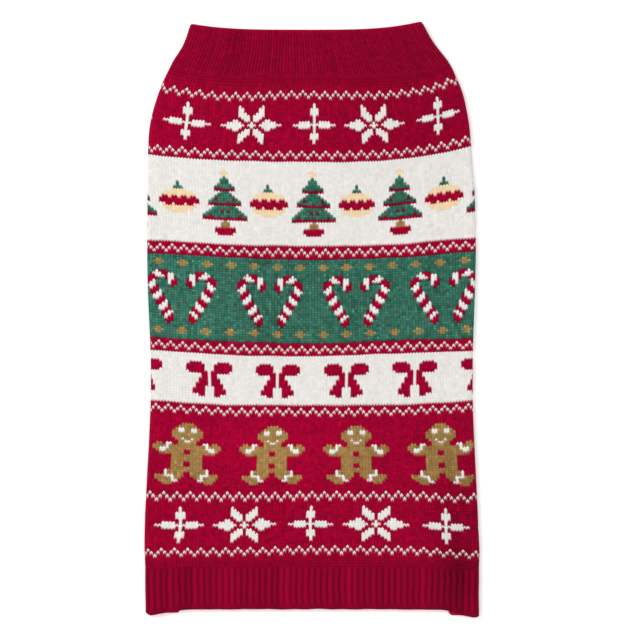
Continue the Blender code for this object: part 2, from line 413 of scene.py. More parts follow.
BAUBLE = """
......g
......g
.....gg
....ppp
..ppppp
.pppppp
.rrprrp
rrrrrrr
rrrrrrr
.prrprr
.pppppp
..ppppp
....ppp
"""
DOT = ["qo", "qooq", "oq"]


def mirrored(half, centred=True, upside=False, without=None):
    """The whole motif from its left half; upside adds the lower half too. A motif that is drawn
    two courses lower goes without one of its lines in each half."""
    whole = [line + (line[:-1] if centred else line)[::-1]
             for k, line in enumerate(half.split()) if k != without]
    return whole + whole[-2::-1] if upside else whole


# Where the motifs stand: the top course, the centre stitch (a half where the motif has a centre
# column) and the stitches from one to the next. Flakes of two kinds take turns.
MotifRow = namedtuple("MotifRow", "motif course centre every")
MOTIF_ROWS = [
    MotifRow(mirrored(CROSS_FLAKE, upside=True), 10, 71.5, 43),
    MotifRow(mirrored(STAR_FLAKE, upside=True), 10, 92.5, 43),
    MotifRow(mirrored(FIR), 38, 70.5, 30),
    MotifRow(mirrored(BAUBLE), 44, 85.5, 30),
    MotifRow(DOT, 76, 74.0, 8),
    MotifRow(DOT, 103, 74.0, 8),
    MotifRow(mirrored(CANE), 81, 85.5, 30),
    MotifRow(mirrored(BOW), 117, 81.5, 23),
    MotifRow(mirrored(BISCUIT, centred=False), 142, 85.0, 28),
    MotifRow(mirrored(CROSS_FLAKE, upside=True, without=6), 175, 69.5, 43),
    MotifRow(mirrored(STAR_FLAKE, upside=True, without=2), 175, 90.5, 43),
]


def body_chart():
    """The yarn of every stitch of the back panel, as letters: courses down, wales across."""
    chart = np.full((BODY_COURSES, BACK_WALES), "r")
    for band, following in zip(BANDS, BANDS[1:]):
        chart[band.first:following.first] = band.ground
    wales = np.arange(BACK_WALES)
    for zigzag in ZIGZAGS:
        step = (wales - zigzag.peak) % ZIGZAG_PERIOD
        drop = np.minimum(step, ZIGZAG_PERIOD - step)
        chart[zigzag.course + drop, wales] = "w"
    for row in MOTIF_ROWS:
        widest = max(len(line) for line in row.motif)
        first = row.centre % row.every - row.every
        for centre in np.arange(first, BACK_WALES + row.every, row.every):
            for k, line in enumerate(row.motif):
                start = int(round(centre - widest / 2)) + (widest - len(line)) // 2
                for j, letter in enumerate(line):
                    if letter != "." and 0 <= start + j < BACK_WALES:
                        chart[row.course + k, start + j] = letter
    return chart


CHART = body_chart()
RED = linear(YARNS["r"])
STITCH_COLOURS = np.array([[linear(YARNS[letter])[:3] for letter in line] for line in CHART])
GRIN = 0.2  # how much of a darker yarn shows at the side of a stitch that it lies beside
FEET_HIDDEN = 0.45  # and at its feet, which the stitch below holds and partly hides
FLOAT_SHOWS = 0.20  # how often the red yarn carried behind the green one shows between stitches
FLOAT_SHARE = 0.4  # and how much of it


def charted_colours(course, column, wale_part, course_part):
    """The colour of each face, from its stitch and from where on the stitch it lies."""
    side = (wale_part > 0.75).astype(int) - (wale_part < 0.25)
    own = STITCH_COLOURS[course, column]
    beside = STITCH_COLOURS[course, np.clip(column + side, 0, BACK_WALES - 1)]
    next_one = STITCH_COLOURS[np.minimum(course + 1, BODY_COURSES - 1), column]
    feet = np.where(course_part < 0.5, 0.0, FEET_HIDDEN)[:, None]
    shown = own + np.minimum(beside - own, 0) * GRIN + np.minimum(next_one - own, 0) * feet
    floats = (CHART[course, column] == "g") & (side != 0) & (rng.random(len(side)) < FLOAT_SHOWS)
    shown[floats] += (RED[:3] - shown[floats]) * FLOAT_SHARE
    return shown


def course_heights():
    """Height on the centre line of every course's edge, from the collar seam to the hem seam."""
    tall = np.ones(BODY_COURSES)
    for zigzag in ZIGZAGS:
        tall[zigzag.course:zigzag.course + ZIGZAG_COURSES] = ZIGZAG_STRETCH
    edges = [COLLAR_SEAM_Y]
    for band, following in zip(BANDS, BANDS[1:]):
        share = np.cumsum(tall[band.first:following.first])
        edges.extend(band.top + (following.top - band.top) * share / share[-1])
    return np.array(edges)


COURSE_EDGES = course_heights()


def height_of(course):
    """Height on the centre line at any course number, run on evenly past both ends."""
    edges = COURSE_EDGES
    inside = np.interp(course, np.arange(len(edges)), edges)
    before = np.minimum(course, 0) * (edges[1] - edges[0])
    after = np.maximum(course - len(edges) + 1, 0) * (edges[-1] - edges[-2])
    return inside + before + after


# ---- cloth forms

# How the cloth was laid down: how far it lies from its even grid at five places across. Lifts
# are toward the neck and shifts to the right.
Lay = namedtuple("Lay", "y left half_left middle half_right right")
LAY_PLACES = np.array([-105.0, -60.0, 0.0, 60.0, 105.0])
LIFTS = [
    Lay(COLLAR_SEAM_Y, 0.0, 0.0, 0.0, 0.0, 0.0),
    Lay(164.5, -1.4, -2.9, -0.9, -2.6, -2.7),
    Lay(141.5, -1.5, -2.9, -1.7, -3.0, -1.8),
    Lay(120.6, 0.3, -0.4, -0.7, -1.4, -0.6),
    Lay(52.9, -0.7, -1.0, -1.1, -1.4, -0.7),
    Lay(36.0, 0.9, 0.3, -0.5, -0.2, 0.6),
    Lay(16.2, 0.9, -0.2, -0.5, 0.0, 0.6),
    Lay(-19.1, -1.1, -1.1, -1.0, -0.2, -1.1),
    Lay(-42.1, 1.1, 0.4, 0.4, 1.2, 1.8),
    Lay(-64.4, -0.3, -1.1, -0.2, -0.5, -0.9),
    Lay(-95.4, 0.3, -0.3, 0.4, 0.1, -0.2),
    Lay(-124.2, 0.0, 0.5, 1.4, 1.5, -1.2),
    Lay(-134.0, -1.1, -0.6, 0.4, 0.3, -1.3),
    Lay(-145.1, -0.8, -0.5, 0.1, 0.6, -0.8),
    Lay(-165.2, 0.3, -0.2, 1.7, 1.6, 0.4),
    Lay(HEM_SEAM_Y, 0.0, 0.0, 0.0, 0.0, 0.0),
]
SHIFTS = [
    Lay(164.5, -5.1, -0.2, 0.8, 0.4, 2.7),
    Lay(141.5, -2.5, 1.6, 1.2, -0.6, -0.2),
    Lay(120.6, -0.8, 0.6, 0.4, -0.9, -2.0),
    Lay(52.9, 2.5, 2.7, 0.7, -2.2, -3.5),
    Lay(16.2, 2.9, 2.7, -0.4, -1.9, -2.5),
    Lay(-19.1, 0.4, 1.7, 0.4, -0.7, 0.3),
    Lay(-42.1, -0.8, 0.0, 0.4, 0.4, 0.7),
    Lay(-64.4, -2.1, 0.0, -0.4, 0.7, 0.7),
    Lay(-95.4, -1.4, -0.1, -0.5, -0.5, 0.4),
    Lay(-112.0, -2.0, -0.5, -0.3, -0.2, 0.7),
    Lay(-124.2, -0.4, 1.4, 1.2, 2.7, 3.5),
    Lay(-145.1, 0.0, 1.4, 0.0, 2.1, 3.2),
    Lay(-165.2, -1.1, 0.6, 0.3, 1.4, 3.9),
]

# Places where a hand drew the cloth to the right, or with a minus to the left, and up
DRAWN_RIGHT = [
    Place(-33, 162, 18, 9, 0.8),
    Place(30, 164, 16, 9, -0.5),
    Place(90, 164, 14, 9, -0.6),
    Place(-22, 17, 14, 22, 0.7),
    Place(22, 20, 14, 22, -0.7),
    Place(54, 12, 12, 18, 0.6),
    Place(90, 16, 12, 18, -0.6),
    Place(-122, -92, 13, 8, -2.0),
    Place(118, -92, 14, 10, 1.0),
    Place(122, -120, 9, 14, 0.8),
    Place(-122, -145, 14, 30, -3.2),
    Place(-84, -147, 14, 30, 1.2),
    Place(123, -147, 14, 30, 2.0),
    Place(123, -19, 14, 10, 1.8),
]
DRAWN_UP = [
    Place(122, -86, 11, 11, 3.4),
    Place(122, -120, 9, 14, 2.6),
]

# Uneven tension: slow waves move the wales and courses by up to this share of a stitch
WANDER = 0.4
RIB_WANDER = 0.55  # share of it that ribs show
WANDER_WAVES = 7
SHORTEST_WAVE = 9.0  # stitches
LONGEST_WAVE = 46.0
EDGE_CALM = 6.0  # stitches from an edge of the cloth over which the waves die away
WAVES = [(rng.uniform(0, 2 * math.pi, 2), rng.uniform(SHORTEST_WAVE, LONGEST_WAVE), axis)
         for axis in (0, 1) for _ in range(WANDER_WAVES)]


def wander(wale, course, wales, courses, share=1.0):
    """Wale and course numbers moved a little, but never at the edges of the cloth."""
    moved = [0.0, 0.0]
    for (heading, phase), length, axis in WAVES:
        way = wale * math.cos(heading) + course * math.sin(heading)
        moved[axis] = moved[axis] + np.sin(2 * math.pi * way / length + phase) / WANDER_WAVES
    edge = np.minimum(np.minimum(wale, wales - wale), np.minimum(course, courses - course))
    calm = share * WANDER * smoothstep(edge / EDGE_CALM)
    return wale + calm * moved[0], course + calm * moved[1]


def put_in_scene(name, data):
    made = bpy.data.objects.new(name, data)
    bpy.context.scene.collection.objects.link(made)
    return made


def add_form(name, points, across, down):
    """A grid of the outer face's points, with the way inward and a UV map that runs 0 to 1 over
    the piece. points gives them at any depth."""
    outer, inner = points(0.0), points(WALL)
    rows, columns = outer.shape[:2]
    mesh = bpy.data.meshes.new(name)
    index = np.arange(rows * columns).reshape(rows, columns)
    faces = np.stack([index[:-1, :-1], index[:-1, 1:], index[1:, 1:], index[1:, :-1]], axis=-1)
    mesh.from_pydata(outer.reshape(-1, 3) * METRES, [], faces.reshape(-1, 4).tolist())
    inward = mesh.attributes.new("inward", "FLOAT_VECTOR", "POINT")
    inward.data.foreach_set("vector", ((inner - outer) * METRES).ravel())
    corner = np.empty(len(mesh.loops), dtype=np.int32)
    mesh.loops.foreach_get("vertex_index", corner)
    grid = np.stack(np.meshgrid(across, down), axis=-1).reshape(-1, 2)
    mesh.uv_layers.new(name="cloth").data.foreach_set("uv", grid[corner].ravel())
    return put_in_scene(name, mesh)


def laid(table, along, y):
    """A lay's value at points of the cloth, smooth between its rows and its places, and the
    same past its ends."""
    rows = np.array(table)
    row, down = between(-rows[:, 0], -y)
    place, across = between(LAY_PLACES, along)
    down, across = smoothstep(down), smoothstep(across)
    values = rows[:, 1:]
    above = values[row, place] * (1 - across) + values[row, place + 1] * across
    below = values[row + 1, place] * (1 - across) + values[row + 1, place + 1] * across
    return above * (1 - down) + below * down


def numbers(first, last, places=None):
    """Stitch numbers from one before the first to one past the last, so that a form runs a
    little past its piece: at so many even places, or at every stitch."""
    return np.linspace(first - 1, last + 1, places or last - first + 3)


def back_form(name, first, last):
    """The back panel between two courses, belly seam to belly seam."""
    wales, courses = numbers(0, BACK_WALES, 2 * BACK_WALES + 5), numbers(first, last)
    wale, course = wander(*np.meshgrid(wales, courses), BACK_WALES, BODY_COURSES)
    y = height_of(course)
    across = courses_at(y)
    along = (2 * wale / BACK_WALES - 1) * (back_half(across) - SEAM_GAP / 2)
    held = 1 - smoothstep((np.abs(along) - flat_run(across)) / (FOLD_TURN + WRAP / 2))
    lift = laid(LIFTS, along, y) + fading(DRAWN_UP, along, y)
    shift = laid(SHIFTS, along, y) + fading(DRAWN_RIGHT, along, y)
    return add_form(name, partial(tube_points, y + lift * held, along + shift * held),
                    wales / BACK_WALES, (courses - first) / (last - first))


def belly_form(name, first, last):
    """The belly panel between two courses, seam to seam."""
    wales, courses = numbers(0, BELLY_WALES), numbers(first, last)
    wale, course = wander(*np.meshgrid(wales, courses), BELLY_WALES, BODY_COURSES)
    share = 2 * wale / BELLY_WALES - 1
    return add_form(name, partial(belly_points, height_of(course), share),
                    wales / BELLY_WALES, (courses - first) / (last - first))


def cuff_form(name, side):
    """A leg band laid flat round its hole; side is -1 on the left and 1 on the right."""
    ribs, courses = numbers(0, CUFF_RIBS, 2 * CUFF_RIBS + 1), numbers(0, CUFF_COURSES)
    turn, inward = np.meshgrid(ribs / CUFF_RIBS, courses / CUFF_COURSES)
    return add_form(name, partial(cuff_points, side * LEG_X, turn, inward),
                    ribs / CUFF_RIBS, courses / CUFF_COURSES)


# A ribbed tube has three zones. A place on it is a zone and a share of the way through, from the
# top's centre, the top or the fold on, less than 0 on the left.
TOP, FOLD, UNDER = range(3)


def by_zone(zone, top, fold, under):
    return np.select([zone == TOP, zone == FOLD], [top, fold], under)


def rib_places(ribs, at):
    """Where each rib number lies. Ribs are counted from half a rib past the centre of the
    underside, round the left fold, the top and the right fold."""
    from_centre = at - (ribs.top + ribs.fold) + 0.5
    gone = np.abs(from_centre)
    flat = ribs.top / 2
    zone = np.select([gone <= flat, gone <= flat + ribs.fold], [TOP, FOLD], UNDER)
    share = by_zone(zone, gone / flat, (gone - flat) / ribs.fold, (gone - flat - ribs.fold) / flat)
    return zone, np.sign(from_centre) * share


BAND_FULLNESS = 1.003  # so that the ribs' middle height, not their crests, lies on the outline


def band_form(name, ribs, count, courses, start_y, end_y):
    """A ribbed tube between the heights start_y and end_y, each a function of zone and share."""
    at, rows = numbers(0, count, 3 * count + 1), numbers(0, courses)
    rib, course = wander(*np.meshgrid(at, rows), count, courses, RIB_WANDER)
    zone, share = rib_places(ribs, rib)
    start, end = start_y(zone, share), end_y(zone, share)
    y = start + (end - start) * course / courses
    flat = flat_run(courses_at(y))
    gone = np.abs(share)
    length = by_zone(zone, gone * flat, flat + gone * FOLD_TURN, flat + FOLD_TURN + gone * flat)
    along = np.sign(share) * length

    def points(depth):
        return tube_points(y, along, depth) * (BAND_FULLNESS, 1, 1)

    return add_form(name, points, at / count, rows / courses)


def level(y):
    """An edge that runs along the course at y all round."""
    return lambda zone, share: np.full(share.shape, y)


def rim_y(zone, share):
    """Height of the neck rim: it rises round the fold, so the lower layer shows behind it."""
    return RIM_Y + RIM_PEEK * by_zone(zone, 0.0, smoothstep(np.abs(share)), 1.0)


def hem_y(zone, share):
    """Height of the hem edge: it comes down at each corner, the lower layer most of all."""
    flat = flat_run(courses_at(np.array(HEM_Y)))
    drop, reach, least, corner = (np.where(share > 0, right, left)
                                  for left, right in zip(TONGUE_LEFT, TONGUE_RIGHT))
    gone = np.abs(share)
    above = UPPER_SHARE * smoothstep(1 - (1 - gone) * flat / (UPPER_REACH * reach))
    turned = UPPER_SHARE + (1 - UPPER_SHARE) * smoothstep(gone) - corner * np.sin(math.pi * gone)
    tongue = 1 - (1 - least) * smoothstep(gone * flat / (TONGUE_NARROWS * reach))
    ended = smoothstep((gone * flat - reach) / TONGUE_END)
    under = tongue - ended * (tongue + HEM_TUCK / drop)
    ripple = sum(np.sin(fast * share + start) for fast, start in HEM_WAVES) * (zone == TOP)
    return HEM_Y + HEM_RIPPLE * ripple * (1 - gone) - drop * by_zone(zone, above, turned, under)


# ---- Geometry Nodes: the knitting

def add_node(tree, kind, inputs=(), operation=None, **settings):
    """Adds a node with its settings and returns its output, or all of them where it has more.
    inputs, by place or by name, are outputs to join or values."""
    made = tree.nodes.new(kind)
    if operation:
        settings["operation"] = operation
    for name, value in settings.items():
        setattr(made, name, value)
    for key, value in inputs.items() if isinstance(inputs, dict) else enumerate(inputs):
        if isinstance(value, bpy.types.NodeSocket):
            tree.links.new(value, made.inputs[key])
        else:
            made.inputs[key].default_value = value
    return made.outputs[0] if len(made.outputs) == 1 else made.outputs


KNIT_INPUTS = {
    "NodeSocketGeometry": ["Cloth"],
    "NodeSocketInt": ["Wales", "Courses", "First course", "Lining rows"],
    "NodeSocketFloat": ["Relief share", "Slant", "Course dip", "Uneven", "Neck straight",
                        "Neck round", "Neck plain", "Hem straight", "Hem round", "Hem plain"],
    "NodeSocketMaterial": ["Yarn"],
}
STITCH_SEED = 5  # for the uneven height of the stitches
NUMBERS_A_COURSE = 1009  # more than it has wales, so that each stitch has a number of its own
SAME_PLACE = 0.01  # points closer than this are one
MATH = "ShaderNodeMath"


def knit_tree(name, profile):
    """Knits a closed wall over a cloth form: a grid of stitches is laid on the outer face, goes
    round both ends and comes back as a plain lining. One profile fits one kind of knit."""
    tree = bpy.data.node_groups.new(name, "GeometryNodeTree")
    for kind, labels in KNIT_INPUTS.items():
        for label in labels:
            tree.interface.new_socket(label, in_out="INPUT", socket_type=kind)
    tree.interface.new_socket("Knit", in_out="OUTPUT", socket_type="NodeSocketGeometry")
    add = partial(add_node, tree)
    given = add("NodeGroupInput")

    # The loop of rows: two for each course, then the lining, then the first row once more.
    outer_rows = add(MATH, (given["Courses"], 2), "MULTIPLY")
    first_back = add(MATH, (outer_rows, 1), "ADD")
    last_back = add(MATH, (first_back, given["Lining rows"]), "ADD")
    loop = add(MATH, (last_back, 1), "ADD")
    rows = add(MATH, (loop, 1), "ADD")
    columns = add(MATH, (given["Wales"], len(profile) - 1, 1), "MULTIPLY_ADD")
    knit = add("GeometryNodeMeshGrid", {
        "Size X": 1.0, "Size Y": 1.0, "Vertices X": columns, "Vertices Y": rows})["Mesh"]
    position = add("GeometryNodeInputPosition")
    place = add("ShaderNodeSeparateXYZ", (position,))
    across = add(MATH, (place["X"], 0.5), "ADD")
    down = add(MATH, (place["Y"], 0.5), "ADD")
    raw_row = add(MATH, (down, loop), "MULTIPLY")
    wale = add(MATH, (across, given["Wales"]), "MULTIPLY")

    # What the yarn colours and the bake need, stored before the grid takes its shape
    outside = add(MATH, (raw_row, outer_rows), "LESS_THAN")
    bake = add("ShaderNodeCombineXYZ", (across, down))
    for label, value, domain, kind in (
            ("wale", wale, "FACE", "FLOAT"), ("row", raw_row, "FACE", "FLOAT"),
            ("outside", outside, "FACE", "FLOAT"), ("OFBake", bake, "CORNER", "FLOAT2")):
        knit = add("GeometryNodeStoreNamedAttribute", {
            "Geometry": knit, "Name": label, "Value": value}, domain=domain, data_type=kind)

    whole_row = add(MATH, (raw_row,), "ROUND")
    row = add(MATH, (whole_row, loop), "MODULO")
    lining = add(MATH, (row, outer_rows), "GREATER_THAN")
    outer_course = add(MATH, (row, 0.5), "MULTIPLY")
    lining_course = add("ShaderNodeMapRange", {
        "Value": row, "From Min": first_back, "From Max": last_back, "To Min": given["Courses"],
        "To Max": 0.0})[0]
    course = add("ShaderNodeMix", {
        "Factor": lining, "A": outer_course, "B": lining_course}, data_type="FLOAT")[0]

    # Near a seam or a free edge the stitches straighten out, a free edge rounds off, and ribs
    # keep some courses plain.
    to_hem = add(MATH, (given["Courses"], course), "SUBTRACT")
    shares = {"straight": [], "round": [], "plain": []}
    for end, far in (("Neck", course), ("Hem", to_hem)):
        for label, reach in (("straight", 1.0), ("round", 0.5)):
            shares[label].append(add("ShaderNodeMapRange", {
                "Value": far, "From Max": reach, "To Min": given[f"{end} {label}"],
                "To Max": 0.0})[0])
        shares["plain"].append(add(MATH, (given[f"{end} plain"], far), "SUBTRACT", use_clamp=True))
    straight, rounding, plain = (add(MATH, pair, "ADD") for pair in shares.values())
    part = add(MATH, (wale,), "FRACT")
    to_side = add(MATH, (part, 2.0, -1.0), "MULTIPLY_ADD")
    to_apex = add(MATH, (to_side,), "ABSOLUTE")
    raised = add(MATH, (to_apex, 0.5), "SUBTRACT")
    loose = add(MATH, (1.0, straight), "SUBTRACT")
    slant = add(MATH, (given["Slant"], loose), "MULTIPLY")
    slanted = add(MATH, (raised, slant, course), "MULTIPLY_ADD")
    sampled = add(MATH, (slanted, given["Courses"]), "DIVIDE")
    sample = add("ShaderNodeCombineXYZ", (across, sampled))
    cloth, way_in = (
        add("GeometryNodeInputNamedAttribute", {"Name": label}, data_type="FLOAT_VECTOR")[0]
        for label in ("cloth", "inward"))
    face, inward = (
        add("GeometryNodeSampleUVSurface", {
            "Mesh": given["Cloth"], "Value": value, "Source UV Map": cloth,
            "Sample UV": sample}, data_type="FLOAT_VECTOR")[0]
        for value in (position, way_in))

    # How high the yarn stands here: the profile, lower where two courses meet, never quite even
    curve = add("ShaderNodeFloatCurve", (1.0, part))
    points = curve.node.mapping.curves[0].points
    points[0].location, points[1].location = profile[0], profile[-1]
    for point in profile[1:-1]:
        points.new(point.across, point.height)
    for point in points:
        point.handle_type = "VECTOR"
    curve.node.mapping.update()
    course_part = add(MATH, (course,), "FRACT")
    to_middle = add(MATH, (course_part, 2.0, -1.0), "MULTIPLY_ADD")
    meeting = add(MATH, (to_middle,), "ABSOLUTE")
    lost = add(MATH, (meeting, given["Course dip"]), "MULTIPLY")
    kept = add(MATH, (1.0, lost), "SUBTRACT")
    whole_wale = add(MATH, (wale,), "FLOOR")
    course_number = add(MATH, (course, given["First course"]), "ADD")
    whole_course = add(MATH, (course_number,), "FLOOR")
    stitch = add(MATH, (whole_course, NUMBERS_A_COURSE, whole_wale), "MULTIPLY_ADD")
    lowest = add(MATH, (1.0, given["Uneven"]), "SUBTRACT")
    chance = add("FunctionNodeRandomValue", {
        2: lowest, 3: 1.0, "ID": stitch, "Seed": STITCH_SEED}, data_type="FLOAT")[1]
    crest = add(MATH, (curve, kept), "MULTIPLY")
    crest = add(MATH, (crest, chance), "MULTIPLY")
    stands = add("ShaderNodeMix", {"Factor": plain, "A": crest, "B": SEAM_STAND},
                 data_type="FLOAT")[0]
    # The stored stand also sets the yarn material's painted groove shade; the lining's is a set
    # value
    shown = add("ShaderNodeMix", {"Factor": lining, "A": stands, "B": LINING_SHADE_STAND},
                data_type="FLOAT")[0]
    knit = add("GeometryNodeStoreNamedAttribute", {
        "Geometry": knit, "Name": "stand", "Value": shown}, domain="POINT", data_type="FLOAT")
    hollow = add(MATH, (1.0, stands), "SUBTRACT")
    sunk = add(MATH, (hollow, given["Relief share"], rounding), "MULTIPLY_ADD")
    inside = add(MATH, (1.0, rounding), "SUBTRACT")
    depth = add("ShaderNodeMix", {"Factor": lining, "A": sunk, "B": inside}, data_type="FLOAT")[0]
    target = add("ShaderNodeVectorMath", (inward, depth, face), "MULTIPLY_ADD")[0]
    knit = add("GeometryNodeSetPosition", {"Geometry": knit, "Position": target})
    knit = add("GeometryNodeMergeByDistance", {"Geometry": knit, "Distance": SAME_PLACE * METRES})

    # Smooth, but for a sharp corner where the outer face turns into an end: an edge there has
    # the mean of its faces, a half
    knit = add("GeometryNodeSetShadeSmooth", (knit,))
    side = add("GeometryNodeInputNamedAttribute", {"Name": "outside"}, data_type="FLOAT")[0]
    corner = add(MATH, (side, 0.5, 0.25), "COMPARE")
    knit = add("GeometryNodeSetShadeSmooth", {
        "Geometry": knit, "Selection": corner, "Shade Smooth": False}, domain="EDGE")
    knit = add("GeometryNodeRealizeInstances", (knit,))
    knit = add("GeometryNodeSetMaterial", {"Geometry": knit, "Material": given["Yarn"]})
    add("NodeGroupOutput", (knit,))
    return tree


# ---- yarn

FLECK_SIZE = 1.6  # spots where the spun yarn is a little thicker, along a stitch or so
FLECK = 0.12  # and how many more times light meets the yarn there
PLY = 0.35  # the plies of the yarn, a third of a stitch's leg


def new_material(name, values):
    """A material whose shader has these values on its own sockets."""
    material = bpy.data.materials.new(name)
    material.use_nodes = True
    for socket, value in values.items():
        material.node_tree.nodes["Principled BSDF"].inputs[socket].default_value = value
    return material


def acrylic_yarn(name, painted_groove_shade):
    """Dyed acrylic yarn, machine knitted: dull, with hardly any shine but a faint bloom of fibre
    ends where the cloth turns away. Its colour is darkened by painted shade in the grooves, where
    the yarn stands low: light there would go from yarn to yarn, so a dark colour loses much of it
    and white hardly any. The second argument says how many more times light meets the yarn down
    in the grooves than on a crest, which sets how deep the painted shade goes."""
    material = new_material(name, {
        "Roughness": 0.9, "Specular IOR Level": 0.02, "Sheen Weight": 0.02, "Sheen Roughness": 0.6})
    tree = material.node_tree
    add = partial(add_node, tree)
    shader = tree.nodes["Principled BSDF"]
    colour = add("ShaderNodeAttribute", attribute_name="yarn_colour")["Color"]
    stand = add("ShaderNodeAttribute", attribute_name="stand")["Fac"]
    # Painted shade: the lower the yarn stands, the darker its colour
    depth = add("ShaderNodeMapRange", {"Value": stand, "To Min": painted_groove_shade, "To Max": 0.0})[0]
    place = add("ShaderNodeTexCoord")["Object"]
    spots = add("ShaderNodeTexNoise", {
        "Vector": place, "Scale": 1 / (FLECK_SIZE * METRES), "Detail": 3.0})["Fac"]
    flecks = add("ShaderNodeMapRange", {
        "Value": spots, "From Min": 0.3, "From Max": 0.7, "To Min": 0.0, "To Max": FLECK})[0]
    lightness = add("ShaderNodeSeparateColor", (colour,), mode="HSV")[2]
    # The painted groove shade and the flecks' own random tone add up, and darken a dark colour most
    times = add(MATH, (depth, flecks), "ADD")
    left = add(MATH, (lightness, times), "POWER")
    mixed = add("ShaderNodeVectorMath", {0: colour, 3: left}, "SCALE")[0]
    tree.links.new(mixed, shader.inputs["Base Color"])
    plies = add("ShaderNodeTexNoise", {
        "Vector": place, "Scale": 1 / (PLY * METRES), "Detail": 2.0})["Fac"]
    bump = add("ShaderNodeBump", {"Height": plies, "Strength": 0.3, "Distance": 0.2 * METRES})
    tree.links.new(bump, shader.inputs["Normal"])
    return material


# A kind of knit. relief is the height from a gap between two wales to the crest of the stitches;
# slant is how far a stitch's apex stands above its feet, as a share of a course; dip is the
# share of its height that is lost where two courses meet. Stitches are uneven in height. The
# knit's colour is darkened all over by painted shade, the deep ribs most, and the yarn's own
# tone spreads at random from stitch to stitch and wale to wale.
Knit = namedtuple("Knit", "tree yarn relief slant dip uneven tight stitch_spread wale_spread")

# Places of painted shade, where the colour is darker than the rest, or with a minus of painted
# light, lighter
PAINTED_LIGHT_AND_SHADE = [
    Place(106, -186, 13, 26, 0.40),
    Place(108, -140, 22, 40, 0.22),
    Place(80, 150, 60, 50, 0.12),
    Place(-108, 30, 50, 190, -0.06),
    Place(-25, -92, 60, 26, -0.14),
]
# Painted shade: the colour is darker beside the panels' seams to the collar and the hem
SEAM_PAINTED_SHADE = 0.20  # as more, beside the panels' seams to the collar and the hem
SEAM_COURSES = 5.0  # over which it dies away


def face_values(mesh, name):
    """A face attribute's values; the attribute is removed."""
    values = np.empty(len(mesh.polygons), dtype=np.float32)
    mesh.attributes[name].data.foreach_get("value", values)
    mesh.attributes.remove(mesh.attributes[name])
    return values


def dye(mesh, knit, wales, courses, first, charted, seams):
    """Colours every face by its stitch: from the chart, or all in red. It then darkens the colour
    by painted shade, in the ribs, beside the seams and at given places, where a minus paints light
    instead. Near the seams the yarn's random tone is more even."""
    wale, row = face_values(mesh, "wale"), face_values(mesh, "row")
    outside = face_values(mesh, "outside") > 0.5
    column = np.clip(np.floor(wale), 0, wales - 1).astype(int)
    course = np.clip(np.floor(row / 2), 0, courses - 1).astype(int) + first
    if charted:
        shown = charted_colours(course, column, wale % 1, row / 2 % 1)
    else:
        shown = np.full((len(wale), 3), RED[:3])
    # The yarn's own tone, spread at random from stitch to stitch and wale to wale
    spread = rng.normal(0.0, knit.stitch_spread, (BODY_COURSES, 2 * BACK_WALES))
    spread = spread + rng.normal(0.0, knit.wale_spread, 2 * BACK_WALES)
    # Painted shade of the knit and beside the seams; toward the seams the random tone falls to half
    to_seam = np.minimum(row / 2 + first, BODY_COURSES - row / 2 - first)
    held = (1 - smoothstep(to_seam / SEAM_COURSES)) * seams
    tight = knit.tight + spread[course, column] * (1 - held / 2) + SEAM_PAINTED_SHADE * held
    # Painted shade at given places, or with a minus painted light
    centres = np.empty(len(wale) * 3, dtype=np.float32)
    mesh.polygons.foreach_get("center", centres)
    x, y = centres.reshape(-1, 3)[:, :2].T / METRES
    tight = tight + fading(PAINTED_LIGHT_AND_SHADE, x, y)
    colour = np.ones((len(wale), 4))
    # Each colour is darkened by its lightness to that power: painted shade, and painted light where
    # the power is below zero
    colour[:, :3] = shown * (shown.max(axis=1) ** tight)[:, None]
    colour[~outside] = RED
    layer = mesh.attributes.new("yarn_colour", "FLOAT_COLOR", "FACE")
    layer.data.foreach_set("color", colour.astype(np.float32).ravel())


def close_ends(mesh):
    """Closes the open ends of a wall with flat faces and turns every face outward."""
    work = bmesh.new()
    work.from_mesh(mesh)
    open_edges = [edge for edge in work.edges if edge.is_boundary]
    if open_edges:
        for edge in open_edges:
            edge.smooth = False
        made = bmesh.ops.holes_fill(work, edges=open_edges, sides=0)["faces"]
        bmesh.ops.triangulate(work, faces=made)
    bmesh.ops.recalc_face_normals(work, faces=work.faces)
    work.to_mesh(mesh)
    work.free()


# How a piece ends: how far its stitches straighten, its wall rounds off, and how many courses
# its ribs leave plain
Edge = namedtuple("Edge", "straight round plain")
SEAM = Edge(1.0, 0.0, 0.0)
RIB_SEAM = Edge(1.0, 0.0, 1.3)
RIM = Edge(1.0, EDGE_ROUND, 1.3)
HEM_EDGE = Edge(1.0, EDGE_ROUND, 2.5)
CUFF_EDGE = Edge(1.0, EDGE_ROUND, 0.0)
WITHIN = Edge(0.0, 0.0, 0.0)  # the knit goes on in the next piece


def knit_piece(form, knit, wales, courses, neck, hem, first=0, charted=False, seams=False):
    """Knits the wall of one piece over its form, keeps it as a plain mesh and dyes it."""
    values = {"Wales": wales, "Courses": courses, "First course": first,
              "Lining rows": LINING_ROWS, "Relief share": knit.relief / WALL,
              "Slant": knit.slant, "Course dip": knit.dip, "Uneven": knit.uneven,
              "Yarn": knit.yarn}
    for word, edge in (("Neck", neck), ("Hem", hem)):
        values.update({f"{word} {label}": share for label, share in edge._asdict().items()})
    modifier = form.modifiers.new("knit", "NODES")
    modifier.node_group = knit.tree
    for item in knit.tree.interface.items_tree:
        if item.item_type == "SOCKET" and item.name in values:
            modifier[item.identifier] = values[item.name]
    form.update_tag()
    depsgraph = bpy.context.evaluated_depsgraph_get()
    mesh = bpy.data.meshes.new_from_object(form.evaluated_get(depsgraph))
    mesh.name = form.name
    plain = form.data
    form.modifiers.remove(modifier)
    form.data = mesh
    bpy.data.meshes.remove(plain)
    dye(mesh, knit, wales, courses, first, charted, seams)
    return form


# ---- the pieces

